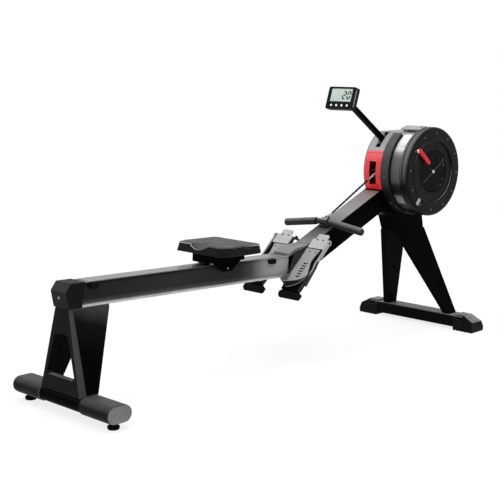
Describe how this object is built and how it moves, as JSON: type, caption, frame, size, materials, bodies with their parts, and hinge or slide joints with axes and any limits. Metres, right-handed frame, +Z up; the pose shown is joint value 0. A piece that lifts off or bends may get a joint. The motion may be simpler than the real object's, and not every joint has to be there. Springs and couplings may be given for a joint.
{
  "type": "rowing machine",
  "caption": "Air rowing machine: a seat rolls on a long rail while a handle on a chain turns a caged fan with a damper lever, with sliding heel plates on its footrests and a monitor on an arm.",
  "frame": {"origin": "on the floor, in the middle of the machine's length and width over its feet", "axes": "+X runs forward from the seat to the fan, +Y is the seated rower's left, +Z is up"},
  "size_m": [2.2726, 0.7, 1.1873],
  "materials": {
    "rail": "satin dark grey",
    "track": "brushed",
    "cap_plastic": "fine texture",
    "black_rubber": "matt",
    "black_steel": "satin powder coat",
    "gloss_panel": "gloss",
    "foot_cap": "satin",
    "beam_grey": "satin grey",
    "light_shell": "satin light grey",
    "footplate": "satin light grey",
    "webbing": "woven",
    "dark_cover": "satin black",
    "red": "gloss red",
    "mesh": "perforated",
    "bright": "bright",
    "steel": "machined",
    "black_plastic": "fine texture",
    "cord": "braided sleeve",
    "seat_foam": "moulded foam",
    "roller": "nylon",
    "lcd": "reflective liquid crystal",
    "white_button": "soft touch"
  },
  "bodies": {
    "frame": {"monorail": "rail", "rail_track": "track", "rail_end_cap": "cap_plastic", "rail_stops": "black_rubber", "rear_leg": "black_steel", "rear_leg_panels": "gloss_panel", "rear_foot_tube": "black_steel", "rear_foot_ends": "foot_cap", "levelling_feet": "black_rubber", "main_beam": "black_steel", "beam_trim": "beam_grey", "joint_cover": "beam_grey", "front_column": "black_steel", "front_legs": "black_steel", "front_foot_tube": "black_steel", "front_foot_caps": "foot_cap", "footrest_frame": "black_steel", "toe_plates": "footplate", "footrest_bars": "footplate", "heel_bumpers": "black_rubber", "foot_straps": "webbing", "handle_cradle": "black_rubber", "housing_shell": "light_shell", "housing_left_cover": "dark_cover", "red_fairing": "red", "chain_guide": "cap_plastic", "side_flange": "dark_cover", "mesh_drum": "mesh", "fan_cover": "dark_cover", "screws": "bright", "air_grille": "dark_cover", "cover_clamps": "bright", "axle_bearings": "bright", "return_cord": "cord", "drive_chain": "bright"},
    "seat": {"seat_carriage": "black_steel", "seat_pan": "black_plastic", "seat_pad": "seat_foam"},
    "front_rollers": {"rollers_front": "roller"},
    "rear_rollers": {"rollers_rear": "roller"},
    "lower_rollers": {"rollers_lower": "roller"},
    "handle": {"handle_bar": "black_steel", "handle_grips": "black_rubber", "handle_bracket": "black_steel"},
    "chain_shackle": {"shackle": "bright"},
    "sprocket": {"chain_sprocket": "steel"},
    "trolley": {"return_trolley": "black_plastic"},
    "fan": {"flywheel": "steel", "flywheel_axle": "bright"},
    "damper": {"damper_lever": "red", "damper_ring": "dark_cover"},
    "arm": {"monitor_arm": "black_steel"},
    "monitor": {"monitor_case": "black_plastic", "monitor_screen": "lcd"},
    "button_1": {"monitor_button_1": "white_button"},
    "button_2": {"monitor_button_2": "white_button"},
    "button_3": {"monitor_button_3": "white_button"},
    "button_4": {"monitor_button_4": "white_button"},
    "left_heel": {"heel_plate_left": "footplate"},
    "right_heel": {"heel_plate_right": "footplate"}
  },
  "joints": [
    {"name": "seat_slide", "type": "slide", "parent": "frame", "child": "seat", "axis": [0.9995, 0, -0.0314], "range_m": [-0.604, 0.2]},
    {"name": "front_rollers_turn", "type": "hinge", "parent": "seat", "child": "front_rollers", "pos_m": [-0.24013, 0, 0.49284], "axis": [0, 1, 0], "range_deg": [-2450, 800]},
    {"name": "rear_rollers_turn", "type": "hinge", "parent": "seat", "child": "rear_rollers", "pos_m": [-0.38006, 0, 0.49724], "axis": [0, 1, 0], "range_deg": [-2450, 800]},
    {"name": "lower_rollers_turn", "type": "hinge", "parent": "seat", "child": "lower_rollers", "pos_m": [-0.31114, 0, 0.46196], "axis": [0, 1, 0], "range_deg": [-1100, 3350]},
    {"name": "handle_pull", "type": "slide", "parent": "frame", "child": "handle", "axis": [-0.936, 0, 0.352], "range_m": [0, 1.02], "stiffness_N_per_m": 30, "springref_m": -0.3, "deforming": ["drive_chain"]},
    {"name": "shackle_turn", "type": "hinge", "parent": "handle", "child": "chain_shackle", "pos_m": [0.37942, 0, 0.60337], "axis": [0, 1, 0], "range_deg": [-5, 45]},
    {"name": "sprocket_turn", "type": "hinge", "parent": "frame", "child": "sprocket", "pos_m": [0.90326, 0, 0.78476], "axis": [0, 1, 0], "range_deg": [-1700, 0]},
    {"name": "trolley_run", "type": "slide", "parent": "frame", "child": "trolley", "axis": [0.9219, 0, 0.3875], "range_m": [0, 0.5], "deforming": ["return_cord"]},
    {"name": "fan_spin", "type": "hinge", "parent": "frame", "child": "fan", "pos_m": [0.90326, 0, 0.78476], "axis": [0, 1, 0], "continuous": true},
    {"name": "damper_turn", "type": "hinge", "parent": "frame", "child": "damper", "pos_m": [0.90326, -0.18, 0.78476], "axis": [0, 1, 0], "range_deg": [-80, 0]},
    {"name": "arm_lift", "type": "hinge", "parent": "frame", "child": "arm", "pos_m": [0.79026, 0, 0.91676], "axis": [0, 1, 0], "range_deg": [-15, 40]},
    {"name": "monitor_tilt", "type": "hinge", "parent": "arm", "child": "monitor", "pos_m": [0.50089, 0, 1.1224], "axis": [0, 1, 0], "range_deg": [-20, 30]},
    {"name": "button_1_press", "type": "slide", "parent": "monitor", "child": "button_1", "axis": [0.9483, 0, -0.3173], "range_m": [0, 0.002], "stiffness_N_per_m": 300},
    {"name": "button_2_press", "type": "slide", "parent": "monitor", "child": "button_2", "axis": [0.9483, 0, -0.3173], "range_m": [0, 0.002], "stiffness_N_per_m": 300},
    {"name": "button_3_press", "type": "slide", "parent": "monitor", "child": "button_3", "axis": [0.9483, 0, -0.3173], "range_m": [0, 0.002], "stiffness_N_per_m": 300},
    {"name": "button_4_press", "type": "slide", "parent": "monitor", "child": "button_4", "axis": [0.9483, 0, -0.3173], "range_m": [0, 0.002], "stiffness_N_per_m": 300},
    {"name": "left_heel_slide", "type": "slide", "parent": "frame", "child": "left_heel", "axis": [-0.7373, 0, -0.6756], "range_m": [0, 0.06]},
    {"name": "right_heel_slide", "type": "slide", "parent": "frame", "child": "right_heel", "axis": [-0.7373, 0, -0.6756], "range_m": [0, 0.06]}
  ],
  "couplings": [
    {"joint": "front_rollers_turn", "follows": "seat_slide", "rad_per_m": 66.667},
    {"joint": "rear_rollers_turn", "follows": "seat_slide", "rad_per_m": 66.667},
    {"joint": "lower_rollers_turn", "follows": "seat_slide", "rad_per_m": -90.909},
    {"joint": "shackle_turn", "follows": "handle_pull", "rad_per_m": 0.5911},
    {"joint": "sprocket_turn", "follows": "handle_pull", "rad_per_m": -27.413},
    {"joint": "trolley_run", "follows": "handle_pull", "ratio": 0.4496}
  ]
}
